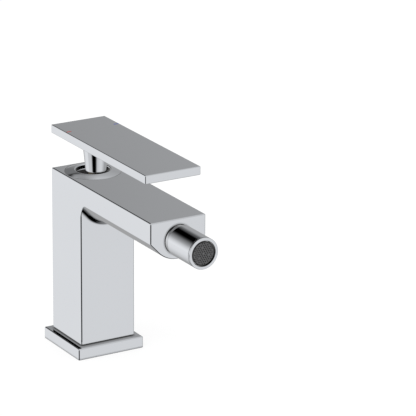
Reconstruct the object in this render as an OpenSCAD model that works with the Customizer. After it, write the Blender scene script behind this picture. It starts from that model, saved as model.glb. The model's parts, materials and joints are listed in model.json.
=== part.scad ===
// Single-lever bidet mixer for a one-hole deck. A square column carries a square-edged arm with
// a ball-jointed nozzle at its end, and a flat lever plate lies over the arm on a tapered stem.
// Millimetres. The origin is on the column's axis at the underside of the base plate, +Z is up,
// the arm and the lever point along -Y, and hot water is on the -X side.

/* [Body] */
// Width and depth of the square column, and width of the arm
body_w = 42; // [41.6:0.2:46]
// Height of the body's flat top above the deck
body_top = 126.5; // [124:0.5:134]
// Distance from the column's axis to the arm's front face
arm_front = 116.5; // [90:0.5:140]
// Height of the arm's upright sides
arm_side_h = 14.7; // [13:0.1:18]
// Depth of the arm from its top to the lowest line of its belly
arm_depth = 27.9; // [27:0.1:30]
// Radius of the arm's belly
belly_r = 20; // [19.5:0.1:20.6]
// Radius of the blend from the belly into the column's front
blend_r = 6; // [2:0.5:9]
// Radius on the body's outer edges
edge_r = 0.9; // [0.3:0.1:1.2]
// Wall of the hollow shaft that the hoses run up and that holds the inlet block
shaft_wall = 3; // [2:0.25:3.5]
// Wall left round the water space in the arm
arm_wall = 5; // [4:0.25:6]

/* [Base plate] */
// Width and depth of the square base plate
base_w = 51; // [48:0.5:60]
// Thickness of the base plate
base_h = 8.3; // [6:0.1:10]
// Width of the square opening through the base plate
base_opening = 32; // [30:0.5:32.5]
// Height of the rim that centres the plate in the shaft
spigot_h = 2.6; // [1.5:0.1:3]
// Thickness of the seal between the base plate and the column
seal_t = 0.6; // [0.4:0.1:1]
// How far that seal stays back from the column's faces
seal_inset = 1; // [0.6:0.1:1.5]
// Outer width of the sealing gasket under the base plate
gasket_w = 46; // [42:0.5:46.5]
// Width of the gasket's band
gasket_band = 4; // [2:0.5:5]
// Depth of the gasket in the plate
gasket_t = 2; // [1:0.25:3]

/* [Inlets and fixing] */
// Distance of each inlet from the middle
inlet_x = 9.5; // [9:0.25:9.75]
// Place of the inlets from front to back
inlet_y = -2; // [-4:0.25:-1]
// Radius of the tapped inlet bore for a hose tail
inlet_r = 4.5; // [4.3:0.05:4.7]
// Length of the tapped inlet
inlet_len = 10; // [7:0.5:11]
// Radius of the boss round each inlet
inlet_boss_r = 7.5; // [6.5:0.25:8]
// Thickness of the block that closes the shaft under the cartridge
block_h = 11.5; // [10.5:0.5:20]
// Length of the boss under the block
inlet_boss_h = 6; // [5:0.5:7]
// Place of the fixing stud behind the axis
stud_y = 11.2; // [10:0.1:11.6]
// Radius of the tapped hole for the fixing stud
stud_r = 3.4; // [2.5:0.1:4.2]
// Length of the tapped hole for the fixing stud
stud_len = 10; // [6:0.5:12]
// Thickness of the bridge plate that takes the stud
bridge_t = 4; // [3:0.5:5]
// Height of the bridge plate above the base plate's top
bridge_up = 5.7; // [5.3:0.1:8]

/* [Cartridge] */
// Outer radius of the cartridge
cart_r = 14.9; // [14.7:0.05:15.1]
// Depth of the cartridge's seat below the body's top
cart_depth = 43; // [42.5:0.25:43.25]
// Height of the lever's pivot pin above the seat
pivot_up = 24.5; // [24.3:0.1:24.9]
// Radius of the pivot pin
pin_r = 1.5; // [1.2:0.1:1.8]
// Distance from the pivot down to the ball on the spindle's foot
throw_len = 9; // [8.8:0.1:9.2]
// Radius of the ball on the spindle's foot
foot_ball_r = 2.8; // [2.4:0.1:3]
// Radius of the sliding ceramic disc
moving_disc_r = 10.5; // [10:0.1:10.7]
// Thickness of each ceramic disc
disc_t = 3.3; // [3:0.05:3.35]
// Radius of the hot and cold ports in the discs
disc_port_r = 2.2; // [1.8:0.1:2.4]
// Radius of the outlet port in the discs
disc_outlet_r = 2.6; // [2.2:0.1:2.8]
// Radius of the turning sleeve that carries the spindle
carrier_r = 9.8; // [9.4:0.1:10]
// Swivel each way that the stop ring allows, in degrees
swivel_max = 50; // [30:1:60]
// Outer radius of the clamping nut's thread
nut_r = 16.5; // [16:0.1:16.8]
// Height of the clamping nut's threaded part
nut_h = 8; // [6:0.25:8.5]
// Depth of the top of the nut's thread below the body's flat top
nut_drop = 7.5; // [6.75:0.25:8.5]

/* [Cover ring] */
// Outer radius of the cover ring
cover_r = 19.4; // [18.6:0.1:19.5]
// Radius of the opening in the cover ring
opening_r = 12.1; // [11.9:0.1:12.6]
// Rise of the cover ring's dome from rim to lip
dome_h = 1.6; // [0.8:0.1:1.8]
// Radius of the rolled lip round the opening
lip_r = 0.7; // [0.4:0.05:0.8]

/* [Lever] */
// Gap between the body's top and the lever plate
lever_gap = 25; // [20:0.5:30]
// Thickness of the lever plate
lever_t = 6; // [5:0.25:8]
// Width of the lever plate
lever_w = 42; // [36:0.5:46]
// Distance from the column's axis to the lever plate's front edge
lever_front = 109.6; // [80:0.5:130]
// Distance from the column's axis to the lever plate's rear edge
lever_back = 21; // [16:0.5:24]
// Radius on the lever plate's edges
lever_edge_r = 0.6; // [0.2:0.1:1]
// Lean of the closed spindle towards the front, in degrees
lean = 12; // [10:0.5:12.5]
// Radius of the stem at its lower end
stem_low_r = 7.15; // [6.8:0.05:7.3]
// Radius of the stem under the lever plate
stem_top_r = 9.45; // [8:0.05:11]
// Height of the stem's lower end above the body's top
stem_lift = 1.75; // [1.7:0.05:2.5]
// Radius on the stem's lower edge
stem_foot_r = 1; // [0.3:0.1:1.5]
// Width of the square spindle
spindle_w = 7; // [6:0.1:7.2]
// Length of the spindle above its pivot
spindle_len = 31; // [29:0.5:32]
// Radius of the grub screw in the stem
grub_r = 2.4; // [2:0.1:2.6]
// Height of the grub screw above the body's top
grub_up = 6.5; // [6:0.25:7]
// Length of the red and blue marks
mark_len = 3.9; // [2:0.1:8]
// Width of the red and blue marks
mark_w = 1.2; // [0.6:0.1:3]
// Depth of the red and blue marks in the plate
mark_t = 0.5; // [0.3:0.1:1]

/* [Nozzle] */
// Height of the nozzle's axis below the body's top
nozzle_drop = 14.1; // [13.5:0.1:14.5]
// Outer radius of the nozzle's sleeve
nozzle_r = 10.9; // [10.7:0.1:11.4]
// Distance from the arm's front face to the nozzle's end
nozzle_out = 32.8; // [32:0.1:40]
// Distance from the arm's front face forward to the ball's centre
pivot_out = 2; // [1.9:0.05:2.2]
// Radius of the fixed ball
ball_r = 7; // [6.9:0.05:7.1]
// Radius of the water way through the ball
ball_bore_r = 2.6; // [2:0.1:2.8]
// Radius of the round skirt that turns inside the arm's recess
skirt_r = 10.15; // [10:0.05:10.2]
// Depth of the recess in the arm's front face
recess_depth = 7; // [6.9:0.1:7.4]
// Radius of the recess in the arm's front face
recess_r = 10.45; // [10.4:0.05:10.8]

/* [Aerator] */
// Thickness of the aerator housing's front flange
flange_t = 1.2; // [0.8:0.1:1.8]
// Radius of the housing's mouth
mouth_r = 8.8; // [8.5:0.1:8.9]
// Radius of the insert's front plate
insert_r = 8.1; // [7.8:0.05:8.2]
// How far the insert's front plate stands back in the mouth
insert_back = 0.4; // [0.2:0.1:2]
// Spacing of the outlet holes
hole_pitch = 1.6; // [1.5:0.1:2.2]
// Radius of each outlet hole
hole_r = 0.5; // [0.35:0.05:0.6]
// Radius of the four studs among the outlet holes
peg_tip_r = 0.75; // [0.4:0.05:0.9]

/* [Clearances] */
// Free play round a part that slides or turns in another
run = 0.1; // [0.05:0.01:0.15]
// Play of a pin, thread or press fit in its hole
snug = 0.05; // [0.02:0.01:0.1]
// Gap between parts that only pass each other
pass = 0.3; // [0.2:0.05:0.4]

/* [Hidden] */
$fn = 64;
// Longer than the whole part, for cuts that run right through
far = 200;

// Body
body_half = body_w / 2;
arm_bottom = body_top - arm_depth;
corner_z = body_top - arm_side_h;
belly_z = arm_bottom + belly_r;
column_z = base_h + seal_t;
shaft_w = body_w - 2 * shaft_wall;
shaft_corner_r = 2;

// Each flat flank of the belly touches the belly's circle at this angle from its lowest line
flank_reach = norm([body_half, corner_z - belly_z]);
flank_a = 90 + atan2(corner_z - belly_z, body_half) - acos(belly_r / flank_reach);
flank_x = belly_r * sin(flank_a);
flank_z = belly_z - belly_r * cos(flank_a);

// Cartridge seat and water ways
cart_floor = body_top - cart_depth;
nut_top = body_top - nut_drop;
housing_top = nut_top - nut_h;
thread_z = housing_top - 1;
block_z = cart_floor - block_h;
inlet_z = block_z - inlet_boss_h;
port_x = 9;
port_y = -3;
port_r = 2.6;
disc_port_x = 5.5;
disc_port_y = -3.5;
outlet_y = 5;
well_h = 4;
well_w = 7.6;
well_z = cart_floor - 2.5 - well_h;
riser_w = 14;
riser_t = 2.2;
riser_wall = 2.4;
riser_y = riser_wall - body_half;
riser_top = thread_z - 1.5;
space_z = arm_bottom + arm_wall + 1;
space_half = body_half - arm_wall - 0.5;
space_cut = 7;
peg_x = 10;
peg_y = 8;
peg_r = 1.4;
peg_h = 2.4;

// Fixing: square lugs in the shaft's rear corners take the bridge's two screws
bridge_z = base_h + bridge_up;
bridge_half = shaft_w / 2 - 2 * pass;
bridge_boss_r = 5.2;
lug_half = 4.8;
lug_x = shaft_w / 2 - lug_half + 0.2;
lug_z = bridge_z + bridge_t;
lug_h = 12;
lug_tap_depth = 10;
screw_r = 1.6;
screw_head_r = 3.2;
screw_head_h = 2.4;
screw_reach = 9;

// Cartridge
pivot_z = cart_floor + pivot_up;
seal_h = 0.4;
base_z = cart_floor + seal_h;
base_step = 2.5;
base_total = 3.3;
fixed_z = base_z + base_total + seal_h;
moving_z = fixed_z + disc_t + snug;
driver_z = moving_z + disc_t;
driver_h = 6.3;
driver_y = throw_len * sin(lean);
pocket_z = pivot_z - throw_len - foot_ball_r - pass - run;
carrier_z = driver_z + driver_h + 0.4;
carrier_flange_h = 3.1;
carrier_flange_r = 12.6;
cavity_r = 13;
cavity_top = carrier_z + carrier_flange_h + 2 * run;
housing_z = base_z + base_step;
neck_r = 11.6;
neck_top = housing_top + 4;
carrier_top = neck_top + 2;
stop_r = 8.2;
stop_half_a = 8;
slot_w = spindle_w + 4 * run;
slot_half = 6.3;
rail_x = 8.2;
rail_w = 1.5;
rail_l = 14;
rail_h = 1.4;
hub_r = 4.5;
spindle_arm_r = 2.2;

// Clamping nut and cover ring
collar_r = 14.8;
collar_h = 4.2;
cover_t = 2;
skirt_in = 16.2;
skirt_out = 17.2;
rim_t = 1.5;
oring_r = (skirt_in - collar_r) / 2 - snug;
tool_slot_w = 3;
tool_slot_h = 1.5;

// Lever
stem_z = body_top + stem_lift;
plate_z = body_top + lever_gap;
stem_y = -(stem_z - pivot_z) * tan(lean);
spigot_r = 4;
spigot_len = 3;
grub_z = body_top + grub_up;
stem_r_at_grub = stem_low_r + (stem_top_r - stem_low_r) * (grub_z - stem_z) / (plate_z - stem_z);
grub_back = stem_y + stem_r_at_grub;
grub_front = spindle_w / 2 / cos(lean) - (grub_z - grub_r - pivot_z) * tan(lean) + snug;
cap_t = 1.6;
cap_r = grub_r + 0.5;
mark_x = lever_w / 2 - lever_edge_r - mark_len / 2;

// Nozzle, measured forward along its axis from the ball's centre
recess_u = pivot_out + recess_depth;
front_wall = 4;
tail_r = 5.9;
washer_t = 0.6;
washer_r = 9.4;
hex_t = 1.2;
hex_r = 8.6;
hex_u = washer_t - recess_u;
ball_neck_r = 3.8;
ball_flat_u = 5.6;
skirt_u = 4.5;
flare_u = 3;
retainer_r = 8.2;
retainer_u = 0.8;
seat_r = ball_r + run;
seal_tube = 0.8;
seal_rho = 5.75;
seal_u = sqrt(pow(ball_r + seal_tube + snug, 2) - pow(seal_rho, 2));
groove_r = seal_rho + seal_tube + snug;
seat_u = sqrt(pow(seat_r, 2) - pow(groove_r, 2));
web_u = seal_u + seal_tube + snug;
web_t = 1.8;
web_hole_r = 4.4;
chamber_r = 8.2;
thread_u = 17.8;
thread_r = 9.25;
front_u = nozzle_out - pivot_out;
sleeve_u = front_u - flange_t - run;
chamfer = 0.3;

// Aerator
gasket_h = 0.6;
insert_u = thread_u + gasket_h;
insert_rim_t = 0.6;
housing_u = insert_u + insert_rim_t + run;
tube_r = 8.3;
mouth_depth = 3.8;
cup_r = tube_r - run;
cup_bore_r = 7.4;
cup_step_u = insert_u + 2.2;
cup_low_r = 6.4;
plate_u = front_u - insert_back;
plate_t = 2;
peg_out = 0.15;
screen_t = 0.4;
screen_pitch = 1.8;
regulator_t = 1.6;
regulator_groove_r = 5;
regulator_core_r = 2.4;
peg_ring_r = hole_pitch * sqrt(7);
peg_turn = atan(1 / (3 * sqrt(3)));

// Flat rectangle with rounded corners, centred
module round_rect(w, d, r) {
    square([w - 2 * r, d], center = true);
    square([w, d - 2 * r], center = true);
    for (sx = [-1, 1], sy = [-1, 1])
        translate([sx * (w / 2 - r), sy * (d / 2 - r)]) circle(r);
}

module tube(r_out, r_in, h) {
    difference() {
        cylinder(r = r_out, h = h);
        translate([0, 0, -1]) cylinder(r = r_in, h = h + 2);
    }
}

module square_ring(w_out, w_in, r, h) {
    difference() {
        linear_extrude(h) round_rect(w_out, w_out, r);
        translate([0, 0, -1]) linear_extrude(h + 2) round_rect(w_in, w_in, r);
    }
}

// Block with all its edges rounded: three crossed prisms, each rounded at its own four corners
module soft_block(low, high, r) {
    size = high - low;
    translate((high + low) / 2) intersection() {
        translate([0, 0, -size[2] / 2]) linear_extrude(size[2]) round_rect(size[0], size[1], r);
        rotate([90, 0, 0]) translate([0, 0, -size[1] / 2])
            linear_extrude(size[1]) round_rect(size[0], size[2], r);
        rotate([90, 0, 90]) translate([0, 0, -size[0] / 2])
            linear_extrude(size[0]) round_rect(size[1], size[2], r);
    }
}

// Frame of the nozzle: the ball's centre, with +Z forward out of the arm and +Y up
module at_ball() {
    translate([0, -arm_front - pivot_out, body_top - nozzle_drop]) rotate([90, 0, 0]) children();
}

// Frame of the spindle: the pivot, with +Z up along the leaning spindle
module at_pivot() {
    translate([0, 0, pivot_z]) rotate([lean, 0, 0]) children();
}

// Cross section of the arm, X across and Y up
module arm_section() {
    polygon([
        [-body_half, body_top - 2 * edge_r],
        [-body_half, corner_z],
        [-flank_x, flank_z],
        [flank_x, flank_z],
        [body_half, corner_z],
        [body_half, body_top - 2 * edge_r]
    ]);
    translate([0, corner_z + arm_side_h / 2]) round_rect(body_w, arm_side_h, edge_r);
    intersection() {
        translate([0, belly_z]) circle(belly_r);
        translate([-flank_x, belly_z - belly_r]) square([2 * flank_x, flank_z - belly_z + belly_r]);
    }
}

// Section of the hollow blend: X away from the belly's centre line, Y forward from the axis
module blend_profile() {
    difference() {
        translate([belly_r - 1, body_half - 1]) square([blend_r + 1, blend_r + 1]);
        translate([belly_r + blend_r, body_half + blend_r]) circle(blend_r);
    }
}

module flank_blend() {
    rotate([0, flank_a, 0]) rotate([180, 90, 0]) linear_extrude(body_half) blend_profile();
}

// Blend of the arm's underside into the column: round the belly's arc and up both flanks
module underside_blend() {
    intersection() {
        translate([0, 0, belly_z]) {
            rotate([90, 0, 0]) rotate_extrude() blend_profile();
            flank_blend();
            mirror([1, 0, 0]) flank_blend();
        }
        translate([-body_half, -body_half - blend_r, arm_bottom - blend_r])
            cube([body_w, blend_r + 1, corner_z - arm_bottom + blend_r]);
    }
}

module body_blank() {
    intersection() {
        rotate([90, 0, 0]) translate([0, 0, -body_half])
            linear_extrude(body_half + arm_front) arm_section();
        soft_block([-body_half, -arm_front, 0], [body_half, body_half, body_top], edge_r);
    }
    translate([0, 0, column_z]) linear_extrude(body_top - column_z - 2 * edge_r)
        round_rect(body_w, body_w, edge_r);
    underside_blend();
}

// Cross section of the water space in the arm, X across and Y up
module arm_space() {
    polygon([
        [-space_half, body_top - arm_wall],
        [space_half, body_top - arm_wall],
        [space_half, corner_z],
        [space_half - space_cut, space_z],
        [space_cut - space_half, space_z],
        [-space_half, corner_z]
    ]);
}

// Way up the column's front wall and along the arm
module water_ways() {
    translate([-riser_w / 2, riser_y, well_z]) cube([riser_w, riser_t, riser_top - well_z]);
    translate([-riser_w / 2, -body_half - 3, space_z])
        cube([riser_w, riser_y + riser_t + body_half + 3, riser_top - space_z]);
    translate([0, -body_half - 2, 0]) rotate([90, 0, 0])
        linear_extrude(arm_front - recess_depth - front_wall - body_half - 2) arm_space();
}

module shaft_lugs() {
    for (side = [-1, 1])
        translate([side * lug_x - lug_half, lug_x - lug_half, lug_z])
            cube([2 * lug_half, 2 * lug_half, lug_h]);
}

module body_casting() color("gainsboro") {
    difference() {
        union() {
            difference() {
                body_blank();
                translate([0, 0, column_z - 1]) linear_extrude(cart_floor - column_z + 1)
                    round_rect(shaft_w, shaft_w, shaft_corner_r);
            }
            shaft_lugs();
        }
        water_ways();
        for (side = [-1, 1])
            translate([side * lug_x, lug_x, lug_z - 1])
                cylinder(r = screw_r + snug, h = lug_tap_depth + 1);
        translate([0, 0, cart_floor - 1]) cylinder(r = cart_r + run, h = far);
        translate([0, 0, thread_z]) cylinder(r = nut_r + snug, h = far);
        translate([0, 0, nut_top]) cylinder(r = cover_r + pass, h = far);
        at_ball() translate([0, 0, -recess_u]) cylinder(r = recess_r, h = far);
        at_ball() translate([0, 0, -recess_u - front_wall - 1])
            cylinder(r = tail_r + snug, h = front_wall + 2);
    }
}

// Brazed into the shaft against its shoulder; its top is the cartridge's seat, and the mixed water
// leaves it through the well and the slot in its front face
module inlet_block() color("goldenrod") {
    difference() {
        union() {
            translate([0, 0, block_z]) linear_extrude(block_h)
                round_rect(shaft_w - 2 * snug, shaft_w - 2 * snug, shaft_corner_r);
            for (side = [-1, 1])
                translate([side * inlet_x, inlet_y, inlet_z])
                    cylinder(r = inlet_boss_r, h = inlet_boss_h + 1);
        }
        for (side = [-1, 1]) {
            translate([side * inlet_x, inlet_y, inlet_z - 1]) cylinder(r = inlet_r, h = inlet_len + 1);
            translate([side * port_x, port_y, inlet_z + inlet_len - 1])
                cylinder(r = port_r, h = cart_floor - inlet_z - inlet_len + 2);
            translate([side * peg_x, peg_y, cart_floor - peg_h])
                cylinder(r = peg_r + run, h = peg_h + 1);
        }
        translate([0, outlet_y, well_z + 1]) cylinder(r = port_r, h = cart_floor - well_z);
        translate([-well_w / 2, riser_y, well_z])
            cube([well_w, outlet_y + port_r - riser_y, well_h]);
        translate([-riser_w / 2, riser_y, well_z]) cube([riser_w, riser_t, far]);
    }
}

module base_plate() color("gainsboro") {
    difference() {
        union() {
            soft_block([-base_w / 2, -base_w / 2, 0], [base_w / 2, base_w / 2, base_h], edge_r);
            translate([0, 0, base_h / 2]) linear_extrude(base_h / 2 + spigot_h)
                round_rect(shaft_w - 2 * pass, shaft_w - 2 * pass, shaft_corner_r);
        }
        translate([0, 0, -1]) linear_extrude(far)
            round_rect(base_opening, base_opening, shaft_corner_r);
        translate([0, 0, -1])
            square_ring(gasket_w, gasket_w - 2 * gasket_band, shaft_corner_r, gasket_t + 1);
    }
}

module base_gasket() color("dimgray") {
    square_ring(gasket_w - 2 * snug, gasket_w - 2 * gasket_band + 2 * snug, shaft_corner_r, gasket_t);
}

module column_seal() color("black") {
    translate([0, 0, base_h])
        square_ring(body_w - 2 * seal_inset, shaft_w + 2 * run, shaft_corner_r, seal_t);
}

module foot_bridge() color("silver") {
    difference() {
        union() {
            translate([-bridge_half, stud_y - bridge_boss_r, bridge_z])
                cube([2 * bridge_half, bridge_half - stud_y + bridge_boss_r, bridge_t]);
            translate([0, stud_y, bridge_z]) cylinder(r = bridge_boss_r, h = stud_len);
        }
        translate([0, stud_y, bridge_z - 1]) cylinder(r = stud_r, h = stud_len + 2);
        for (side = [-1, 1])
            translate([side * lug_x, lug_x, bridge_z - 1]) cylinder(r = screw_r + pass, h = bridge_t + 2);
    }
}

module bridge_screws() color("silver") {
    for (side = [-1, 1])
        translate([side * lug_x, lug_x, bridge_z - screw_head_h]) difference() {
            union() {
                cylinder(r = screw_head_r, h = screw_head_h);
                cylinder(r = screw_r, h = screw_head_h + bridge_t + screw_reach);
            }
            translate([0, 0, -1]) cylinder(r = screw_r, h = screw_head_h / 2 + 1, $fn = 6);
        }
}

module at_seat_ports() {
    for (side = [-1, 1]) translate([side * port_x, port_y, 0]) children();
    translate([0, outlet_y, 0]) children();
}

module at_disc_inlets() {
    for (side = [-1, 1]) translate([side * disc_port_x, disc_port_y, 0]) children();
}

module port_seals() color("black") {
    translate([0, 0, cart_floor]) at_seat_ports() tube(port_r + 1.4, port_r + 0.2, seal_h);
}

// The base brings the two inlets in from the seat's wide ports to the discs' closer ones
module cartridge_base() color("ivory") {
    half_h = base_total / 2;
    difference() {
        union() {
            translate([0, 0, base_z]) cylinder(r = cart_r, h = base_step);
            translate([0, 0, base_z]) cylinder(r = cavity_r - run, h = base_total);
            for (side = [-1, 1])
                translate([side * peg_x, peg_y, cart_floor - peg_h + run])
                    cylinder(r = peg_r, h = peg_h + seal_h + 0.5);
        }
        for (side = [-1, 1])
            translate([side * port_x, port_y, base_z - 1]) cylinder(r = port_r, h = half_h + 1.5);
        translate([0, 0, base_z + half_h]) at_disc_inlets() cylinder(r = disc_port_r, h = base_total);
        translate([0, outlet_y, base_z - 1]) cylinder(r = disc_outlet_r, h = base_total + 2);
    }
}

module disc_seals() color("black") {
    translate([0, 0, base_z + base_total]) {
        at_disc_inlets() tube(disc_port_r + 1.2, disc_port_r + 0.2, seal_h);
        translate([0, outlet_y, 0]) tube(disc_outlet_r + 1.2, disc_outlet_r + 0.2, seal_h);
    }
}

module fixed_disc() color("whitesmoke") {
    translate([0, 0, fixed_z]) difference() {
        cylinder(r = cavity_r - run, h = disc_t);
        translate([0, 0, -1]) at_disc_inlets() cylinder(r = disc_port_r, h = disc_t + 2);
        translate([0, outlet_y, -1]) cylinder(r = disc_outlet_r, h = disc_t + 2);
    }
}

// The pocket under the sliding disc joins both inlets to the outlet once the disc is pushed forward
module moving_disc() color("whitesmoke") {
    front = disc_port_y + disc_port_r + 0.4 - driver_y;
    back = outlet_y + disc_outlet_r + pass;
    translate([0, driver_y, moving_z]) difference() {
        cylinder(r = moving_disc_r, h = disc_t);
        translate([-disc_port_x - 1.7, front, -1]) cube([2 * disc_port_x + 3.4, 4.7, disc_t / 2 + 1]);
        translate([-disc_outlet_r - 0.4, front, -1])
            cube([2 * disc_outlet_r + 0.8, back - front, disc_t / 2 + 1]);
    }
}

module disc_driver() color("ivory") {
    guide_w = rail_w + 2 * pass;
    translate([0, driver_y, 0]) difference() {
        translate([0, 0, driver_z]) cylinder(r = moving_disc_r, h = driver_h);
        translate([0, 0, pocket_z]) cylinder(r = foot_ball_r + pass, h = far);
        for (side = [-1, 1])
            translate([side * rail_x - guide_w / 2, -far / 2, carrier_z - rail_h - pass])
                cube([guide_w, far, far]);
    }
}

module cartridge_housing() color("dimgray") {
    difference() {
        union() {
            translate([0, 0, housing_z]) cylinder(r = cart_r, h = housing_top - housing_z);
            translate([0, 0, housing_z]) cylinder(r = neck_r, h = neck_top - housing_z);
        }
        translate([0, 0, housing_z - 1]) cylinder(r = cavity_r, h = cavity_top - housing_z + 1);
        translate([0, 0, housing_z]) cylinder(r = carrier_r + run, h = far);
    }
}

// Flat sector of half angle a about +Y
module sector(a) {
    polygon([[0, 0], [far * sin(a), far * cos(a)], [0, 2 * far], [-far * sin(a), far * cos(a)]]);
}

// The ring's inward lug stands in a notch of the carrier and stops the swivel at both ends
module hot_limit_ring() color("firebrick") {
    h = carrier_top - neck_top;
    translate([0, 0, neck_top]) {
        tube(neck_r - run, carrier_r + pass, h);
        linear_extrude(h) intersection() {
            difference() {
                circle(neck_r - 2 * run);
                circle(stop_r + pass);
            }
            sector(stop_half_a);
        }
    }
}

module spindle_carrier() color("dimgray") {
    difference() {
        union() {
            translate([0, 0, carrier_z]) cylinder(r = carrier_flange_r, h = carrier_flange_h);
            translate([0, 0, carrier_z]) cylinder(r = carrier_r, h = carrier_top - carrier_z);
            for (side = [-1, 1])
                translate([side * rail_x - rail_w / 2, -rail_l / 2, carrier_z - rail_h])
                    cube([rail_w, rail_l, rail_h + 1]);
        }
        translate([-slot_w / 2, -slot_half, carrier_z - 1]) cube([slot_w, 2 * slot_half, far]);
        translate([-carrier_r + pass, 0, pivot_z]) rotate([0, 90, 0])
            cylinder(r = pin_r + snug, h = far);
        translate([0, 0, neck_top - pass]) linear_extrude(far) difference() {
            intersection() {
                circle(carrier_r + 1);
                sector(swivel_max + stop_half_a + 1);
            }
            circle(stop_r);
        }
    }
}

module pivot_pin() color("silver") {
    translate([-carrier_r + 2 * pass, 0, pivot_z]) rotate([0, 90, 0])
        cylinder(r = pin_r, h = 2 * carrier_r - 4 * pass);
}

module spindle() color("goldenrod") {
    at_pivot() difference() {
        union() {
            translate([-spindle_w / 2, -spindle_w / 2, hub_r / 2])
                cube([spindle_w, spindle_w, spindle_len - hub_r / 2]);
            translate([-spindle_w / 2, 0, 0]) rotate([0, 90, 0]) cylinder(r = hub_r, h = spindle_w);
            translate([0, 0, -throw_len]) cylinder(r = spindle_arm_r, h = throw_len);
            translate([0, 0, -throw_len]) sphere(foot_ball_r);
        }
        translate([-spindle_w, 0, 0]) rotate([0, 90, 0]) cylinder(r = pin_r + run, h = far);
    }
}

module clamping_nut() color("dimgray") {
    difference() {
        union() {
            translate([0, 0, housing_top]) cylinder(r = nut_r, h = nut_h);
            translate([0, 0, housing_top]) cylinder(r = collar_r, h = nut_h + collar_h);
        }
        translate([0, 0, housing_top - 1]) cylinder(r = neck_r + pass, h = far);
        for (a = [0 : 60 : 300])
            rotate([0, 0, a])
                translate([neck_r - 1, -tool_slot_w / 2, nut_top + collar_h - tool_slot_h])
                    cube([far, tool_slot_w, far]);
    }
}

module cover_oring() color("black") {
    translate([0, 0, nut_top + collar_h / 2]) rotate_extrude()
        translate([(collar_r + skirt_in) / 2, 0]) circle(oring_r);
}

// Section: rim, shallow dome, rolled lip, and the inner skirt that grips the nut's O-ring
module cover_ring() color("gainsboro") {
    lip_top = body_top + dome_h;
    skirt_z = nut_top + collar_h / 2 - 2 * oring_r;
    rotate_extrude() {
        polygon([
            [cover_r - rim_t, nut_top],
            [cover_r, nut_top],
            [cover_r, body_top],
            [opening_r + lip_r, lip_top],
            [opening_r, lip_top - lip_r],
            [opening_r, body_top - cover_t + 0.4],
            [cover_r - rim_t, body_top - cover_t]
        ]);
        translate([opening_r + lip_r, lip_top - lip_r]) circle(lip_r);
        translate([skirt_in, skirt_z]) square([skirt_out - skirt_in, body_top - skirt_z - 1]);
    }
}

module stem_cone() {
    translate([0, stem_y, stem_z]) {
        rotate_extrude() {
            translate([stem_low_r - stem_foot_r, stem_foot_r]) circle(stem_foot_r);
            square([stem_low_r - stem_foot_r, 2 * stem_foot_r]);
        }
        translate([0, 0, stem_foot_r])
            cylinder(r1 = stem_low_r, r2 = stem_top_r, h = plate_z - stem_z - stem_foot_r);
    }
}

module lever_stem() color("gainsboro") {
    socket_w = spindle_w + 2 * snug;
    difference() {
        union() {
            stem_cone();
            translate([0, stem_y, plate_z - 1]) cylinder(r = spigot_r, h = spigot_len + 1);
        }
        at_pivot() translate([-socket_w / 2, -socket_w / 2, 0])
            cube([socket_w, socket_w, spindle_len + pass]);
        translate([0, grub_front - 1, grub_z]) rotate([-90, 0, 0])
            cylinder(r = grub_r + snug, h = far);
        translate([0, grub_back - cap_t - run, grub_z]) rotate([-90, 0, 0])
            cylinder(r = cap_r + snug, h = far);
    }
}

// Inlaid mark near the plate's left or right edge, level with the column's axis
module mark_block(side, grow, h) {
    translate([side * mark_x - mark_len / 2 - grow, -mark_w / 2 - grow, plate_z + lever_t - mark_t])
        cube([mark_len + 2 * grow, mark_w + 2 * grow, h]);
}

module lever_plate() color("gainsboro") {
    difference() {
        soft_block([-lever_w / 2, -lever_front, plate_z],
            [lever_w / 2, lever_back, plate_z + lever_t], lever_edge_r);
        translate([0, stem_y, plate_z - 1]) cylinder(r = spigot_r + snug, h = spigot_len + 1 + run);
        for (side = [-1, 1]) mark_block(side, snug, far);
    }
}

module grub_screw() color("dimgray") {
    len = grub_back - cap_t - 2 * run - grub_front;
    translate([0, grub_front, grub_z]) rotate([-90, 0, 0]) difference() {
        cylinder(r = grub_r, h = len);
        translate([0, 0, len / 3]) cylinder(r = grub_r / 2, h = len, $fn = 6);
    }
}

module screw_cap() color("darkgray") {
    intersection() {
        translate([0, grub_back - cap_t, grub_z]) rotate([-90, 0, 0]) cylinder(r = cap_r, h = far);
        stem_cone();
    }
}

module hot_mark() color("red") mark_block(-1, 0, mark_t);

module cold_mark() color("blue") mark_block(1, 0, mark_t);

// Threaded tail, hexagon, neck and fixed ball in one turned piece, bored through for the water
module ball_stem() color("silver") {
    at_ball() difference() {
        union() {
            translate([0, 0, -recess_u - front_wall]) cylinder(r = tail_r, h = front_wall + washer_t + 1);
            translate([0, 0, hex_u]) cylinder(r = hex_r, h = hex_t, $fn = 6);
            translate([0, 0, hex_u]) cylinder(r = ball_neck_r, h = -hex_u);
            intersection() {
                sphere(ball_r);
                translate([0, 0, ball_flat_u - far]) cylinder(r = 2 * ball_r, h = far);
            }
        }
        translate([0, 0, -far / 2]) cylinder(r = ball_bore_r, h = far);
    }
}

module stem_gasket() color("black") {
    at_ball() translate([0, 0, -recess_u]) tube(hex_r, tail_r + snug, washer_t);
}

// The slip washer turns with the nozzle in front of the hexagon
module slip_washer() color("white") {
    at_ball() translate([0, 0, hex_u + hex_t + snug]) tube(washer_r, ball_neck_r + run, washer_t);
}

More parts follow.
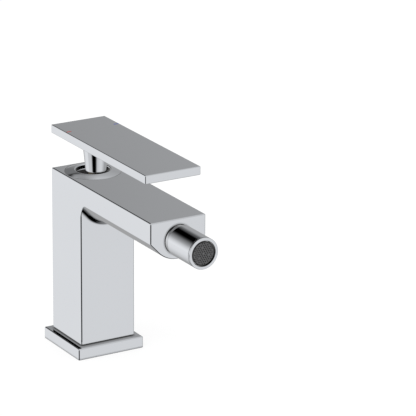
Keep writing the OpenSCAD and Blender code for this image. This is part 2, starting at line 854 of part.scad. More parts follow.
module nozzle_sleeve() color("gainsboro") {
    at_ball() rotate_extrude() difference() {
        union() {
            intersection() {
                circle(skirt_r);
                translate([0, -skirt_u]) square([far, skirt_u + 0.5]);
            }
            polygon([
                [0, 0],
                [skirt_r, 0],
                [nozzle_r, flare_u],
                [nozzle_r, sleeve_u - chamfer],
                [nozzle_r - chamfer, sleeve_u],
                [0, sleeve_u]
            ]);
        }
        translate([-far, -far]) square([far + retainer_r + snug, far + retainer_u + run]);
        intersection() {
            circle(seat_r);
            translate([-far, 0]) square([2 * far, seat_u]);
        }
        translate([-far, 0]) square([far + groove_r, web_u]);
        translate([-far, 0]) square([far + web_hole_r, far]);
        translate([-far, web_u + web_t]) square([far + chamber_r, far]);
        translate([-far, thread_u]) square([far + thread_r + snug, far]);
    }
}

module ball_retainer() color("goldenrod") {
    at_ball() rotate_extrude() difference() {
        translate([0, -skirt_u]) square([retainer_r, skirt_u + retainer_u]);
        circle(seat_r);
    }
}

module ball_seal() color("black") {
    at_ball() rotate_extrude() translate([seal_rho, seal_u]) circle(seal_tube);
}

module aerator_gasket() color("black") {
    at_ball() translate([0, 0, thread_u]) tube(thread_r - snug, cup_low_r, gasket_h);
}

// Points of a triangular grid inside a circle
function grid_spots(pitch, reach) = [
    for (row = [-6 : 6], col = [-6 : 6])
        let (spot = [pitch * (col + abs(row % 2) / 2), pitch * row * sqrt(3) / 2])
            if (norm(spot) <= reach) spot
];

// The centre and three grid points round it carry a stud instead of a hole
function peg_spots() = [
    [0, 0],
    for (a = [90 : 120 : 330]) peg_ring_r * [cos(a + peg_turn), sin(a + peg_turn)]
];

function clear_of_pegs(spot) = min([for (peg = peg_spots()) norm(spot - peg)]) > hole_pitch / 2;

module aerator_screen() color("silver") {
    at_ball() translate([0, 0, insert_u + run]) difference() {
        cylinder(r = cup_bore_r - run, h = screen_t);
        for (spot = grid_spots(screen_pitch, cup_low_r - hole_r))
            translate([spot[0], spot[1], -1]) cylinder(r = hole_r, h = screen_t + 2);
    }
}

module flow_regulator() color("white") {
    at_ball() translate([0, 0, cup_step_u - regulator_t]) difference() {
        cylinder(r = cup_bore_r - run, h = regulator_t);
        translate([0, 0, -1]) tube(regulator_groove_r, regulator_core_r, regulator_t);
        for (a = [0 : 60 : 300])
            rotate([0, 0, a]) translate([3.7, 0, -1]) cylinder(r = 0.9, h = regulator_t + 2);
    }
}

module aerator_insert() color("dimgray") {
    at_ball() difference() {
        union() {
            translate([0, 0, insert_u]) cylinder(r = thread_r - snug, h = insert_rim_t);
            translate([0, 0, insert_u]) cylinder(r = cup_r, h = plate_u - plate_t - insert_u);
            translate([0, 0, insert_u]) cylinder(r = insert_r, h = plate_u - insert_u);
            for (spot = peg_spots())
                translate([spot[0], spot[1], plate_u - plate_t])
                    cylinder(r = peg_tip_r, h = plate_t + peg_out);
        }
        translate([0, 0, insert_u - 1]) cylinder(r = cup_bore_r, h = cup_step_u - insert_u + 1);
        translate([0, 0, insert_u]) cylinder(r = cup_low_r, h = plate_u - plate_t - insert_u);
        for (spot = grid_spots(hole_pitch, insert_r - 1.1))
            if (clear_of_pegs(spot))
                translate([spot[0], spot[1], plate_u - plate_t - 1]) cylinder(r = hole_r, h = plate_t + 2);
    }
}

module aerator_housing() color("gainsboro") {
    at_ball() rotate_extrude() polygon([
        [tube_r, housing_u],
        [thread_r, housing_u],
        [thread_r, front_u - flange_t],
        [nozzle_r - chamfer, front_u - flange_t],
        [nozzle_r, front_u - flange_t + chamfer],
        [nozzle_r, front_u - chamfer],
        [nozzle_r - chamfer, front_u],
        [mouth_r + chamfer, front_u],
        [mouth_r, front_u - chamfer],
        [mouth_r, front_u - mouth_depth],
        [tube_r, front_u - mouth_depth]
    ]);
}

body_casting();
inlet_block();
base_plate();
base_gasket();
column_seal();
foot_bridge();
bridge_screws();
port_seals();
cartridge_base();
disc_seals();
fixed_disc();
cartridge_housing();
hot_limit_ring();
clamping_nut();
cover_oring();
cover_ring();
spindle_carrier();
pivot_pin();
moving_disc();
disc_driver();
spindle();
lever_stem();
lever_plate();
grub_screw();
screw_cap();
hot_mark();
cold_mark();
ball_stem();
stem_gasket();
slip_washer();
nozzle_sleeve();
ball_retainer();
ball_seal();
aerator_gasket();
aerator_screen();
flow_regulator();
aerator_insert();
aerator_housing();
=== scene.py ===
# %% [markdown]
# # A bidet mixer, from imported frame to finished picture
#
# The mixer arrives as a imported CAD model: every real piece is a node in its final place, and each
# node belongs to a body that the joints can move. This lesson keeps that frame as it is and
# rebuilds the chrome pieces that catch the eye, because a polished surface shows every facet of
# a coarse mesh. The inner pieces stay as the frame gives them and only get a finish.

# %% Load the frame
import json
import math

import bmesh
import bpy
from mathutils import Matrix, Vector

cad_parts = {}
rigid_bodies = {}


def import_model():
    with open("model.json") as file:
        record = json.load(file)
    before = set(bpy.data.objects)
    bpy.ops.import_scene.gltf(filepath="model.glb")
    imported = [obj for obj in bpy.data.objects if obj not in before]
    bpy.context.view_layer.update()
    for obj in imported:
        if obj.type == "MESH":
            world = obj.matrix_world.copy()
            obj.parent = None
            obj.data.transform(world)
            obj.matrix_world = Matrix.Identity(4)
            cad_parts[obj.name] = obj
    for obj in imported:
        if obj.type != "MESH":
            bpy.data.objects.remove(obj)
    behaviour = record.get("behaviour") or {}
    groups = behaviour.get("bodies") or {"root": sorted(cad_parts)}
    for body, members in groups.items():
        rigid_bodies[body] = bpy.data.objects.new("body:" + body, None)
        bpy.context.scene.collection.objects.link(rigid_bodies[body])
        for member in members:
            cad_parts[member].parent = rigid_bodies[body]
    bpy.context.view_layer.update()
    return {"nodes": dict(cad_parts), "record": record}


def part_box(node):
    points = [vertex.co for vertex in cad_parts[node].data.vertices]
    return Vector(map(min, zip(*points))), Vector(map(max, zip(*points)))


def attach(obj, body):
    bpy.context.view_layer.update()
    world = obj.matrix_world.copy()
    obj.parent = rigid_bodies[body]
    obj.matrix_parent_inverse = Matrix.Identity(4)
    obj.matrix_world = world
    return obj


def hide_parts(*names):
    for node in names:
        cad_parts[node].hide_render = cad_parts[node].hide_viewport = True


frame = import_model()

# %% [markdown]
# ## Working in millimetres
#
# Drawings of taps are dimensioned in millimetres, so each mesh is drawn in millimetres and scaled
# once, when it becomes a piece. `cad` reads a node's box, so that a new piece starts from the
# node that it stands for and not from a copied number.

# %% Units and boxes
MM = 0.001


def cad(node):
    """Lowest and highest corner of a CAD node, in millimetres."""
    low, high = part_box(node)
    return Vector(low) / MM, Vector(high) / MM


body_low, body_high = cad("body_casting")
plate_high = cad("base_plate")[1]
lever_low, lever_high = cad("lever_plate")
print("body", [round(v, 2) for v in (*body_low, *body_high)])
print("lever plate", [round(v, 2) for v in (*lever_low, *lever_high)])

# %% [markdown]
# ## The camera first
#
# The photograph was taken with a long lens, from the left and looking down by about 19 degrees.
# A long lens keeps upright edges nearly parallel, which is why the mixer looks so square in it.
# The lens, the place and the three axes were solved from straight edges of the mixer, so that
# picture and photograph can be laid over each other.

# %% Camera
LENS = 257.576
CAMERA_AT = Vector((-0.933783, -1.708166, 0.762114))
CAMERA_RIGHT = Vector((0.85849655, -0.51276022, 0.00778708))
CAMERA_UP = Vector((0.1588607, 0.28035148, 0.94666062))
CAMERA_BACK = Vector((-0.48759302, -0.81146781, 0.32213823))

camera_data = bpy.data.cameras.new("long_lens")
camera_data.lens = LENS
camera_data.sensor_width = 36
camera_data.clip_start = 0.05
camera_data.clip_end = 60
camera = bpy.data.objects.new("camera", camera_data)
bpy.context.scene.collection.objects.link(camera)
turn = Matrix((CAMERA_RIGHT, CAMERA_UP, CAMERA_BACK)).transposed().to_4x4()
camera.matrix_world = Matrix.Translation(CAMERA_AT) @ turn
bpy.context.scene.camera = camera
print("camera to origin:", round(CAMERA_AT.length, 3), "m")

# %% [markdown]
# ## Shared surface effects
#
# Five small node groups give a finish more than a flat colour: four make its variation, and the fifth
# paints shade into it. They only give colours, values and normals; each material keeps its own shader.
# The four read Object coordinates, so a grain has the same size on a large piece and on a small one.
# The fifth darkens the colour where something stands close in front of a surface.

# %% Node group helper
def effect(name, inputs, outputs):
    """A node group with named sockets; returns the tree and its input and output nodes."""
    tree = bpy.data.node_groups.new(name, "ShaderNodeTree")
    for label, kind, value in inputs:
        socket = tree.interface.new_socket(name=label, in_out="INPUT", socket_type=kind)
        socket.default_value = value
    for label, kind in outputs:
        tree.interface.new_socket(name=label, in_out="OUTPUT", socket_type=kind)
    return tree, tree.nodes.new("NodeGroupInput"), tree.nodes.new("NodeGroupOutput")


def node(tree, kind, links=(), **settings):
    """Adds a node; links are (input name, output socket) pairs."""
    made = tree.nodes.new(kind)
    for key, value in settings.items():
        if key in made.inputs:
            made.inputs[key].default_value = value
        else:
            setattr(made, key, value)
    for name, source in links:
        tree.links.new(source, made.inputs[name])
    return made


FLOAT, COLOUR, NORMAL = "NodeSocketFloat", "NodeSocketColor", "NodeSocketVector"

# %% [markdown]
# **Haze** is the faint unevenness of a handled polished surface. A cloudy noise moves the
# roughness between two limits, so a reflection is a little softer in one place than in another.

# %% Haze
NOISE_LOW, NOISE_HIGH = 0.3, 0.7
haze, haze_in, haze_out = effect(
    "haze",
    [("Scale", FLOAT, 60), ("Low", FLOAT, 0.02), ("High", FLOAT, 0.05)],
    [("Value", FLOAT)],
)
place = node(haze, "ShaderNodeTexCoord")
cloud = node(
    haze, "ShaderNodeTexNoise",
    [("Vector", place.outputs["Object"]), ("Scale", haze_in.outputs["Scale"])],
    Detail=5, Roughness=0.6,
)
spread = node(
    haze, "ShaderNodeMapRange",
    [("Value", cloud.outputs["Fac"]), ("To Min", haze_in.outputs["Low"]),
     ("To Max", haze_in.outputs["High"])],
)
spread.inputs["From Min"].default_value = NOISE_LOW
spread.inputs["From Max"].default_value = NOISE_HIGH
haze.links.new(spread.outputs["Result"], haze_out.inputs["Value"])

# %% [markdown]
# **Tint** drifts slowly between two nearby colours, as plating and mouldings do.
#
# **Turning marks** are the fine rings that a lathe leaves on bare metal. A wave of rings about the
# upright axis gives them; the phase is shaken by noise so that no two rings look the same.
#
# **Grain** is the pebbled skin of a moulded or rubber piece, from a cell texture.

# %% Tint, turning marks and grain
tint, tint_in, tint_out = effect(
    "tint",
    [("Colour", COLOUR, (0.8, 0.8, 0.8, 1)), ("Drift", COLOUR, (0.7, 0.7, 0.7, 1)),
     ("Scale", FLOAT, 20)],
    [("Colour", COLOUR)],
)
place = node(tint, "ShaderNodeTexCoord")
cloud = node(
    tint, "ShaderNodeTexNoise",
    [("Vector", place.outputs["Object"]), ("Scale", tint_in.outputs["Scale"])],
    Detail=3,
)
blend = node(
    tint, "ShaderNodeMix",
    [("Factor", cloud.outputs["Fac"])],
    data_type="RGBA",
)
tint.links.new(tint_in.outputs["Colour"], blend.inputs["A"])
tint.links.new(tint_in.outputs["Drift"], blend.inputs["B"])
tint.links.new(blend.outputs["Result"], tint_out.inputs["Colour"])

marks, marks_in, marks_out = effect(
    "turning_marks",
    [("Scale", FLOAT, 900), ("Depth", FLOAT, 0.00003)],
    [("Normal", NORMAL)],
)
place = node(marks, "ShaderNodeTexCoord")
rings = node(
    marks, "ShaderNodeTexWave",
    [("Vector", place.outputs["Object"]), ("Scale", marks_in.outputs["Scale"])],
    wave_type="RINGS", rings_direction="Z", Distortion=4, Detail=3,
)
relief = node(
    marks, "ShaderNodeBump",
    [("Height", rings.outputs["Fac"]), ("Distance", marks_in.outputs["Depth"])],
    Strength=0.6,
)
marks.links.new(relief.outputs["Normal"], marks_out.inputs["Normal"])

grain, grain_in, grain_out = effect(
    "grain",
    [("Scale", FLOAT, 1500), ("Depth", FLOAT, 0.00004)],
    [("Normal", NORMAL)],
)
place = node(grain, "ShaderNodeTexCoord")
pebbles = node(
    grain, "ShaderNodeTexVoronoi",
    [("Vector", place.outputs["Object"]), ("Scale", grain_in.outputs["Scale"])],
)
relief = node(
    grain, "ShaderNodeBump",
    [("Height", pebbles.outputs["Distance"]), ("Distance", grain_in.outputs["Depth"])],
    Strength=0.5,
)
grain.links.new(relief.outputs["Normal"], grain_out.inputs["Normal"])

# %% [markdown]
# ** Crevice shade** is painted shade: an ambient occlusion reading darkens a surface's colour where other surfaces stand close in front of it. The polished pieces mirror only the room, so this painted shade gives the seams, the ring's opening and the bores their depth.

# %% Painted crevice shade
painted_crevice_shade, crevice_shade_in, crevice_shade_out = effect(
    "painted_crevice_shade",
    [("Colour", COLOUR, (0.8, 0.8, 0.8, 1)), ("Distance", FLOAT, 0.004), ("Power", FLOAT, 1.5)],
    [("Colour", COLOUR)],
)
# Painted shade: the colour is scaled down by the occlusion raised to a power.
near = node(
    painted_crevice_shade, "ShaderNodeAmbientOcclusion", [("Distance", crevice_shade_in.outputs["Distance"])],
    samples=8)
deep = node(
    painted_crevice_shade, "ShaderNodeMath",
    [(0, near.outputs["AO"]), (1, crevice_shade_in.outputs["Power"])], operation="POWER")
shaded = node(
    painted_crevice_shade, "ShaderNodeVectorMath", [(0, crevice_shade_in.outputs["Colour"])], operation="SCALE")
painted_crevice_shade.links.new(deep.outputs["Value"], shaded.inputs["Scale"])
painted_crevice_shade.links.new(shaded.outputs["Vector"], crevice_shade_out.inputs["Colour"])
print("effects:", ", ".join(tree.name for tree in (haze, tint, marks, grain, painted_crevice_shade)))

# %% [markdown]
# ## Finishes
#
# All finishes share one recipe: a drifting tint for the colour, painted shade where surfaces stand
# close, and haze for the roughness. Bare metal, rubber, ceramic and plastic also take turning marks or
# grain for the normal. Chrome takes neither: it is a mirror with a slightly blue-grey tint, and its
# roughness stays between 0.015 and 0.035, so edges of reflections stay crisp. A face attribute also
# lets a drawn piece paint shade on its own inner walls, down to black.

# %% Finish helper
def finish(name, colour, drift, rough, relief_tree=None, relief_settings=(),
           crevice_shade_settings=(), **shader_settings):
    """A material whose colour drifts and takes painted shade, and whose roughness is uneven between two
    limits.
    """
    made = bpy.data.materials.new(name)
    made.use_nodes = True
    tree = made.node_tree
    shader = tree.nodes["Principled BSDF"]
    for key, value in shader_settings.items():
        shader.inputs[key.replace("_", " ")].default_value = value
    drifting = node(tree, "ShaderNodeGroup", node_tree=tint)
    drifting.inputs["Colour"].default_value = (*colour, 1)
    drifting.inputs["Drift"].default_value = (*drift, 1)
    uneven = node(tree, "ShaderNodeGroup", node_tree=haze)
    uneven.inputs["Low"].default_value, uneven.inputs["High"].default_value = rough
    # Painted shade near close surfaces, from the crevice shade group.
    crevice_shaded = node(tree, "ShaderNodeGroup", node_tree=painted_crevice_shade)
    for key, value in crevice_shade_settings:
        crevice_shaded.inputs[key].default_value = value
    tree.links.new(drifting.outputs["Colour"], crevice_shaded.inputs["Colour"])
    # Painted shade from the face attribute: the colour is scaled by one minus its value.
    painted_shade = node(tree, "ShaderNodeAttribute", attribute_name="painted_shade")
    left = node(tree, "ShaderNodeMath", [(1, painted_shade.outputs["Fac"])], operation="SUBTRACT")
    left.inputs[0].default_value = 1
    kept = node(
        tree, "ShaderNodeVectorMath", [(0, crevice_shaded.outputs["Colour"])], operation="SCALE")
    tree.links.new(left.outputs["Value"], kept.inputs["Scale"])
    tree.links.new(kept.outputs["Vector"], shader.inputs["Base Color"])
    tree.links.new(uneven.outputs["Value"], shader.inputs["Roughness"])
    if relief_tree:
        raised = node(tree, "ShaderNodeGroup", node_tree=relief_tree)
        for key, value in relief_settings:
            raised.inputs[key].default_value = value
        tree.links.new(raised.outputs["Normal"], shader.inputs["Normal"])
    made.diffuse_color = (*colour, 1)
    return made


# The shade settings in this table set how far and how strongly each finish paints shade near close
# surfaces.
finishes = {
    "chrome": finish(
        "polished_chrome", (0.845, 0.868, 0.905), (0.825, 0.848, 0.885), (0.015, 0.035),
        crevice_shade_settings=[("Distance", 0.0018)], Metallic=1),
    "brass": finish(
        "turned_brass", (0.78, 0.58, 0.28), (0.66, 0.47, 0.22), (0.22, 0.38), marks,
        crevice_shade_settings=[("Distance", 0.012), ("Power", 3)], Metallic=1),
    "steel": finish(
        "stainless_steel", (0.62, 0.62, 0.63), (0.5, 0.5, 0.51), (0.2, 0.34), marks,
        [("Scale", 1600)], Metallic=1),
    "rubber": finish(
        "black_rubber", (0.022, 0.022, 0.022), (0.04, 0.04, 0.04), (0.55, 0.75), grain),
    "ceramic": finish(
        "lapped_ceramic", (0.86, 0.85, 0.82), (0.8, 0.79, 0.76), (0.12, 0.2), grain,
        [("Scale", 4000), ("Depth", 0.00001)]),
    "white_plastic": finish(
        "moulded_white", (0.8, 0.79, 0.75), (0.74, 0.73, 0.69), (0.35, 0.5), grain,
        [("Scale", 2500)]),
    "black_plastic": finish(
        "moulded_black", (0.012, 0.012, 0.013), (0.02, 0.02, 0.021), (0.5, 0.65), grain,
        [("Scale", 2500)]),
    "grey_plastic": finish(
        "moulded_grey", (0.12, 0.12, 0.124), (0.09, 0.09, 0.093), (0.35, 0.5), grain,
        [("Scale", 2500)], [("Distance", 0.002), ("Power", 2)]),
    "red_plastic": finish(
        "red_mark", (0.6, 0.02, 0.015), (0.5, 0.015, 0.012), (0.15, 0.3), grain,
        [("Scale", 3000), ("Depth", 0.00001)]),
    "blue_plastic": finish(
        "blue_mark", (0.01, 0.05, 0.42), (0.008, 0.04, 0.34), (0.15, 0.3), grain,
        [("Scale", 3000), ("Depth", 0.00001)]),
}
print("finishes:", ", ".join(made.name for made in finishes.values()))

# %% [markdown]
# The record says which slot each CAD node takes its finish from. Every node gets its material
# here, also those that a drawn piece replaces later on.

# %% Finishes on the CAD nodes
slot_of = {part["node"]: part["material_slot"] for part in frame["record"]["subparts"]}
for name, obj in frame["nodes"].items():
    obj.data.materials.clear()
    obj.data.materials.append(finishes[slot_of[name]])
print(len(slot_of), "nodes finished")

# %% [markdown]
# ## Drawing tools
#
# Three ways of drawing cover most of the mixer. Round pieces are turned on a lathe from one
# outline. Square pieces are built level by level from rounded rectangles. The body's arm is swept
# as a grid of rows.
#
# Every mesh becomes a piece in the same way: it is scaled once, gets its finish, and says which
# body it rides and which CAD nodes it replaces. Its normals are smooth on curved faces, and stay
# flat on faces with more than four corners, which are the real flats.

# %% From mesh to piece
CURVED_CORNERS = 4
SMOOTH_BELOW = math.cos(math.radians(35))


def set_normals(mesh):
    """Smooth normals that leave every face of more than four corners perfectly flat."""
    around = [[] for _ in mesh.vertices]
    for face in mesh.polygons:
        for corner in face.vertices:
            around[corner].append(face)
    normals = []
    for face in mesh.polygons:
        for corner in face.vertices:
            near = [f for f in around[corner] if f.normal.dot(face.normal) > SMOOTH_BELOW]
            flats = [f for f in near if len(f.vertices) > CURVED_CORNERS]
            if len(face.vertices) > CURVED_CORNERS:
                normals.append(face.normal.copy())
            elif flats:
                normals.append(sum((f.normal for f in flats), Vector()).normalized())
            else:
                normals.append(sum((f.normal * f.area for f in near), Vector()).normalized())
    mesh.normals_split_custom_set(normals)


def piece(name, bm, slot, body, *nodes):
    """Turns a mesh drawn in millimetres into a piece that rides a body and replaces nodes."""
    bmesh.ops.transform(bm, matrix=Matrix.Scale(MM, 4), verts=bm.verts)
    bmesh.ops.recalc_face_normals(bm, faces=bm.faces)
    for face in bm.faces:
        face.smooth = True
    mesh = bpy.data.meshes.new(name)
    bm.to_mesh(mesh)
    bm.free()
    mesh.materials.append(finishes[slot])
    set_normals(mesh)
    made = bpy.data.objects.new(name, mesh)
    bpy.context.scene.collection.objects.link(made)
    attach(made, body)
    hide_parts(*nodes)
    print(f"{name}: {len(mesh.polygons)} faces")
    return made


# %% [markdown]
# No real edge is sharp, so an outline lists the radius of each corner with its place. `soften`
# then puts an arc of short steps in the place of each corner.

# %% Outlines
def arc_between(start, end, steps):
    """Unit directions from start to end along the shorter way round."""
    whole = start.angle(end)
    return [
        (start * math.sin((1 - i / steps) * whole) + end * math.sin(i / steps * whole))
        / math.sin(whole)
        for i in range(steps + 1)
    ]


def soften(corners, steps=6):
    """Rounds the (x, y, radius) corners of a closed outline."""
    outline = []
    for i, (x, y, radius) in enumerate(corners):
        here = Vector((x, y))
        if not radius:
            outline.append(here)
            continue
        back = (Vector(corners[i - 1][:2]) - here).normalized()
        ahead = (Vector(corners[(i + 1) % len(corners)][:2]) - here).normalized()
        half = back.angle(ahead) / 2
        centre = here + (back + ahead).normalized() * radius / math.sin(half)
        reach = radius / math.tan(half)
        first = (here + back * reach - centre).normalized()
        last = (here + ahead * reach - centre).normalized()
        outline += [centre + way * radius for way in arc_between(first, last, steps)]
    return outline


# %% [markdown]
# Meshes grow from loops of vertices. `skin` joins neighbouring loops with quads, `fill` closes a flat
# that has holes in it, and one more helper marks the faces that get painted shade, which darkens their
# colour.

# %% Loops and faces
def paint_shade(bm, amount, test):
    """Paints shade: sets a face attribute that darkens the colour where test(centre in millimetres)
    holds.
    """
    layer = bm.faces.layers.float.get("painted_shade") or bm.faces.layers.float.new("painted_shade")
    for face in bm.faces:
        if test(face.calc_center_median()):
            face[layer] = amount


def ring(bm, count, radius, place):
    """A circle of vertices in the local X-Y plane."""
    return [
        bm.verts.new(place @ Vector((
            radius * math.cos(math.tau * i / count), radius * math.sin(math.tau * i / count), 0)))
        for i in range(count)
    ]


def skin(bm, loops):
    """Quads between neighbouring loops that have the same number of vertices."""
    for lower, upper in zip(loops, loops[1:]):
        count = len(lower)
        for i in range(count):
            j = (i + 1) % count
            bm.faces.new((lower[i], lower[j], upper[j], upper[i]))


def fill(bm, loops):
    """A flat face with holes: the first loop is its outline, the others are the holes."""
    edges = [
        bm.edges.get(pair) or bm.edges.new(pair)
        for loop in loops for pair in zip(loop, loop[1:] + loop[:1])]
    bmesh.ops.triangle_fill(bm, use_beauty=True, edges=edges)


# %% [markdown]
# `lathe` turns an outline into a round piece. `level` draws one rounded rectangle; its corners
# keep a tiny radius where the outline has none, so that every level has the same vertices.

# %% Lathe and levels
MIN_CORNER = 0.02


def lathe(bm, outline, place, steps=128):
    """Spins a closed (radius, height) outline about the local Z axis of place."""
    verts = [bm.verts.new((radius, 0, height)) for radius, height in outline]
    edges = [bm.edges.new(pair) for pair in zip(verts, verts[1:] + verts[:1])]
    bmesh.ops.spin(
        bm, geom=verts + edges, cent=(0, 0, 0), axis=(0, 0, 1), angle=math.tau,
        steps=steps, use_merge=True)
    bmesh.ops.transform(bm, matrix=place, verts=bm.verts)


def level(bm, low, high, z, corner, steps=6):
    """A rounded rectangle of vertices from low to high at height z."""
    corner = max(corner, MIN_CORNER)
    made = []
    spots = ((high[0], high[1]), (low[0], high[1]), (low[0], low[1]), (high[0], low[1]))
    signs = ((-1, -1), (1, -1), (1, 1), (-1, 1))
    for quarter, ((x, y), (to_x, to_y)) in enumerate(zip(spots, signs)):
        for i in range(steps + 1):
            angle = math.radians(90 * (quarter + i / steps))
            made.append(bm.verts.new((
                x + corner * (to_x + math.cos(angle)),
                y + corner * (to_y + math.sin(angle)), z)))
    return made


# %% [markdown]
# ## The body: column, arm and the blend between them
#
# The arm has upright sides, flat flanks under them and a round belly. A 6 mm blend carries the
# underside into the column's front. The blend is a rolling-ball fillet: at each step `t` of its
# quarter turn, a point with outward normal `n` moves along `n` by `r (1 - cos t)` and forward by
# `r sin t`. The rounded lower corner follows the same ball, so no seam shows along the side.

# %% Sizes of the body
HALF = body_high.x
FRONT = body_low.y
TOP = body_high.z
FOOT = body_low.z
SIDE_DROP = 14.7
BELLY_DROP = 27.9
BELLY_R = 20
BLEND_R = 6
SIDE_R = 1
EDGE = 0.9
CORNER_Z = TOP - SIDE_DROP
BELLY_Z = TOP - BELLY_DROP + BELLY_R
reach = math.hypot(HALF, CORNER_Z - BELLY_Z)
FLANK = math.pi / 2 + math.atan2(CORNER_Z - BELLY_Z, HALF) - math.acos(BELLY_R / reach)
print("flank angle", round(math.degrees(FLANK), 2))


def arm_row(y, t, belly_steps=18, corner_steps=5):
    """One row of the sweep, from the left side under the belly to the right side."""
    fall = 1 - math.cos(t)
    forward = BLEND_R * math.sin(t)
    right = []
    for i in range(belly_steps + 1):
        a = FLANK * i / belly_steps
        spread = BELLY_R + BLEND_R * fall
        right.append(Vector((spread * math.sin(a), y + forward, BELLY_Z - spread * math.cos(a))))
    normal = Vector((math.sin(FLANK), 0, -math.cos(FLANK)))
    lift = BLEND_R - (BLEND_R + SIDE_R) * math.cos(t)
    start_x = HALF - SIDE_R - normal.x * lift
    start_z = BELLY_Z + (start_x * math.sin(FLANK) - BELLY_R) / math.cos(FLANK)
    centre = Vector((
        HALF - SIDE_R, y + (BLEND_R + SIDE_R) * math.sin(t), start_z + normal.z * lift))
    facing = normal * math.cos(t) - Vector((0, math.sin(t), 0))
    right += [centre + SIDE_R * way for way in arc_between(facing, Vector((1, 0, 0)), corner_steps)]
    left = [Vector((-p.x, p.y, p.z)) for p in reversed(right[1:])]
    return left + right


# %% [markdown]
# The flat faces with round openings are split down the middle into two C-shaped faces. That keeps
# the outer edges clean for the bevel, which then rounds them by 0.9 mm in four steps.

# %% The outer shell
def half_faces(bm, hole, right_way, left_way):
    """Two faces round a circle of vertices; each way runs from the circle's last to first side."""
    quarter = len(hole) // 4
    turned = [hole[i % len(hole)] for i in range(quarter, -quarter - 1, -1)]
    bm.faces.new(right_way + turned)
    turned = [hole[i] for i in range(3 * quarter, quarter - 1, -1)]
    bm.faces.new(left_way + turned)


BLEND_STEPS = 10
shell = bmesh.new()
blend_y = -HALF - BLEND_R
turns = [math.radians(90 * i / BLEND_STEPS) for i in range(BLEND_STEPS + 1)]
rows = [arm_row(FRONT, 0)] + [arm_row(blend_y, t) for t in turns]
rows.append([Vector((p.x, p.y, FOOT)) for p in rows[-1]])
grid = [[shell.verts.new(p) for p in row] for row in rows]
for near, next_row in zip(grid, grid[1:]):
    for i in range(len(near) - 1):
        shell.faces.new((near[i], next_row[i], next_row[i + 1], near[i + 1]))

left_front = shell.verts.new((-HALF, FRONT, TOP))
mid_front = shell.verts.new((0, FRONT, TOP))
right_front = shell.verts.new((HALF, FRONT, TOP))
left_back = shell.verts.new((-HALF, HALF, TOP))
mid_back = shell.verts.new((0, HALF, TOP))
right_back = shell.verts.new((HALF, HALF, TOP))
left_heel = shell.verts.new((-HALF, HALF, FOOT))
right_heel = shell.verts.new((HALF, HALF, FOOT))
shell.faces.new([row[-1] for row in grid] + [right_heel, right_back, right_front])
shell.faces.new([row[0] for row in grid] + [left_heel, left_back, left_front])
shell.faces.new((left_heel, right_heel, right_back, mid_back, left_back))

RIM_COUNT = 96
WELL_R, RECESS_R = 19.7, 10.45
NOZZLE_DROP = 14.1
UPRIGHT = Matrix.Translation((0, 0, TOP))
NOZZLE_Z = TOP - NOZZLE_DROP
TO_FRONT = Matrix.Rotation(math.radians(90), 4, "X")
RECESS = Matrix.Translation((0, FRONT, NOZZLE_Z)) @ TO_FRONT
top_rim = ring(shell, RIM_COUNT, WELL_R, UPRIGHT)
recess_rim = ring(shell, RIM_COUNT, RECESS_R, RECESS)
half_faces(shell, top_rim, [mid_front, right_front, right_back, mid_back],
           [mid_back, left_back, left_front, mid_front])
middle = len(grid[0]) // 2
half_faces(shell, recess_rim, grid[0][middle:] + [right_front, mid_front],
           [mid_front, left_front] + grid[0][: middle + 1])

# %% Rounded outer edges
rim_walk = grid[0] + [right_front, mid_front, left_front]
edge_pairs = list(zip(rim_walk, rim_walk[1:] + rim_walk[:1])) + [
    (right_front, right_back), (right_back, mid_back), (mid_back, left_back),
    (left_back, left_front), (right_back, right_heel), (left_back, left_heel)]
bmesh.ops.recalc_face_normals(shell, faces=shell.faces)
bmesh.ops.bevel(
    shell, geom=[shell.edges.get(pair) for pair in edge_pairs], affect="EDGES", offset=EDGE,
    offset_type="OFFSET", segments=4, profile=0.5, material=-1, clamp_overlap=False)
print("shell after the bevel:", len(shell.faces), "faces")

# %% [markdown]
# Where the column meets the base plate, its edge turns in by 0.7 mm. Level cuts at the heights of
# a quarter circle make rows of vertices there, and each row is then drawn in towards the axis.

# %% Rounded foot
FOOT_R = 0.7
heights = [FOOT_R * (1 - math.cos(math.radians(a))) for a in (22.5, 45, 67.5, 90)]
for height in heights:
    bmesh.ops.bisect_plane(
        shell, geom=shell.verts[:] + shell.edges[:] + shell.faces[:],
        plane_co=(0, 0, FOOT + height), plane_no=(0, 0, 1))
for vert in shell.verts:
    up = vert.co.z - FOOT
    if up < FOOT_R:
        inset = FOOT_R - math.sqrt(FOOT_R ** 2 - (FOOT_R - up) ** 2)
        vert.co.xy *= (HALF - inset) / HALF
print("rounded foot:", len(heights), "level cuts")

# %% [markdown]
# Three wells go into the shell: the stepped one for the cartridge from above, the round recess for
# the nozzle's skirt in the arm's front, and the square shaft for the hoses from below. Lugs in
# the shaft's rear corners take the screws of the fixing bridge.

# %% Wells and lugs
def well(bm, rim, steps, place):
    """Carries a round rim inwards through (radius, height) steps and closes the end."""
    loops = [rim] + [
        ring(bm, len(rim), radius, place @ Matrix.Translation((0, 0, height)))
        for radius, height in steps]
    skin(bm, loops)
    bm.faces.new(loops[-1])


CARTRIDGE_WELL = [(WELL_R, -7.5), (16.7, -7.5), (16.7, -16.6), (15, -16.6), (15, -42.9)]
NOZZLE_WELL = [(RECESS_R, -7), (5.95, -7), (5.95, -18)]
SHAFT, SHAFT_TOP, SHAFT_CORNER = 18, 80, 2
LUG_SIZE = (9.6, 9.6, 12)
LUG_OUT, LUG_Z = 13.4, 24
AT_MOUTH, AT_WALL = 0.01, 0.05
RECESS_LIMIT_Y = -80
well(shell, top_rim, CARTRIDGE_WELL, UPRIGHT)
well(shell, recess_rim, NOZZLE_WELL, RECESS)
foot_edges = [e for e in shell.edges if e.is_boundary and abs(e.verts[0].co.z - FOOT) < AT_MOUTH]
mouth = level(shell, (-SHAFT, -SHAFT), (SHAFT, SHAFT), FOOT, SHAFT_CORNER)
ceiling = level(shell, (-SHAFT, -SHAFT), (SHAFT, SHAFT), SHAFT_TOP, SHAFT_CORNER)
